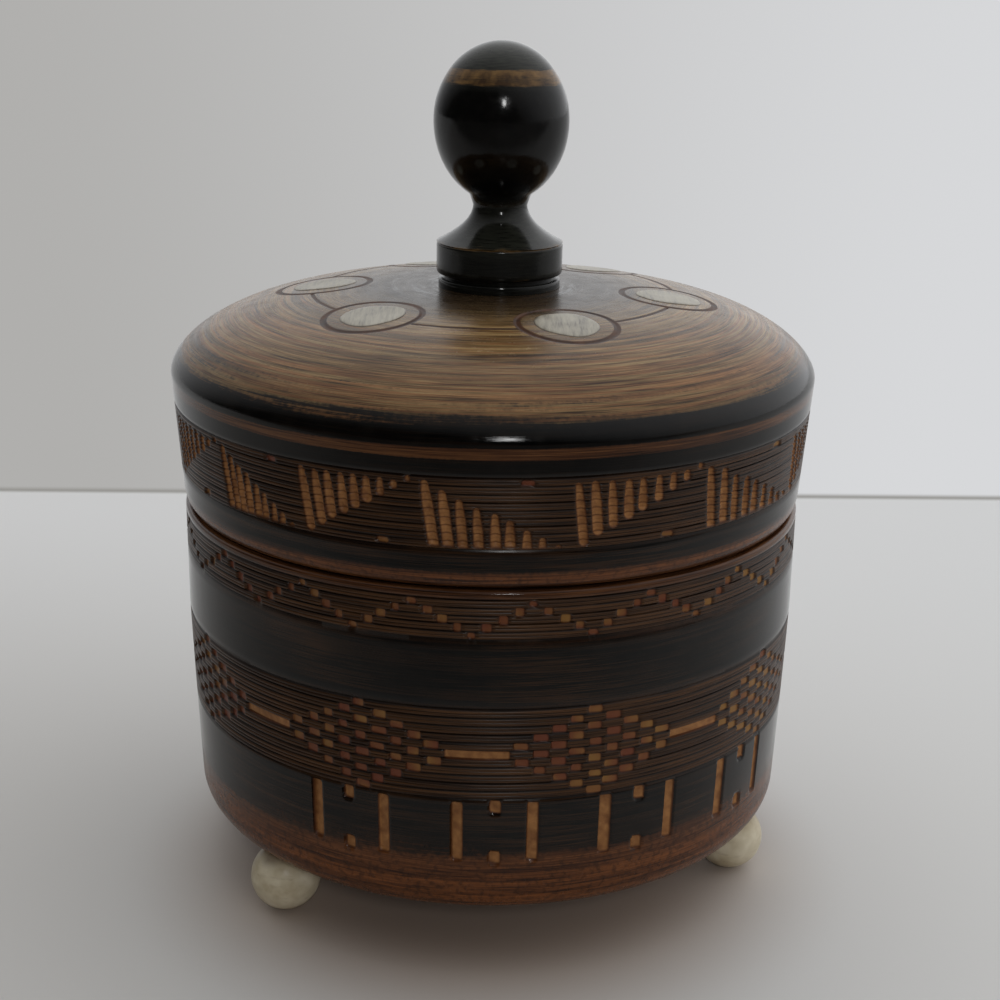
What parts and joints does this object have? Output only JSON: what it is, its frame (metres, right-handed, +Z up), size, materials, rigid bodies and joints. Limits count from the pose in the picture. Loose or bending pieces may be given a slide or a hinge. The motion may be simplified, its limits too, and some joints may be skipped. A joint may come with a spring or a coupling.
{
  "type": "trinket box",
  "caption": "Round turned and carved wooden trinket box on ball feet, with a lift-off domed lid, a ball knob on a flared collar and pale inlaid discs.",
  "frame": {"origin": "on the box's axis, in the plane that the three feet stand on", "axes": "+Z up along the turning axis, -Y towards the side seen in the picture, +X to the right of that view"},
  "size_m": [0.0816, 0.0816, 0.1059],
  "materials": {
    "lacquered_wood": "dark brown and black lacquer, polished and worn, cuts showing bare orange-brown wood",
    "black_lacquer": "glossy black lacquer, worn to brown on edges",
    "shell_inlay": "polished pale shell or bone with fine streaks",
    "bone": "smooth ivory-white, slightly glossy"
  },
  "bodies": {
    "box": {"box_body": "lacquered_wood", "ball_foot_1": "bone", "ball_foot_2": "bone", "ball_foot_3": "bone"},
    "lid": {"lid": "lacquered_wood", "lid_knob": "black_lacquer", "inlay_disc_1": "shell_inlay", "inlay_disc_2": "shell_inlay", "inlay_disc_3": "shell_inlay", "inlay_disc_4": "shell_inlay", "inlay_disc_5": "shell_inlay", "inlay_disc_6": "shell_inlay"}
  },
  "joints": [
    {"name": "lid_lift", "type": "slide", "parent": "box", "child": "lid", "axis": [0, 0, 1], "range_m": [0, 0.06]}
  ]
}
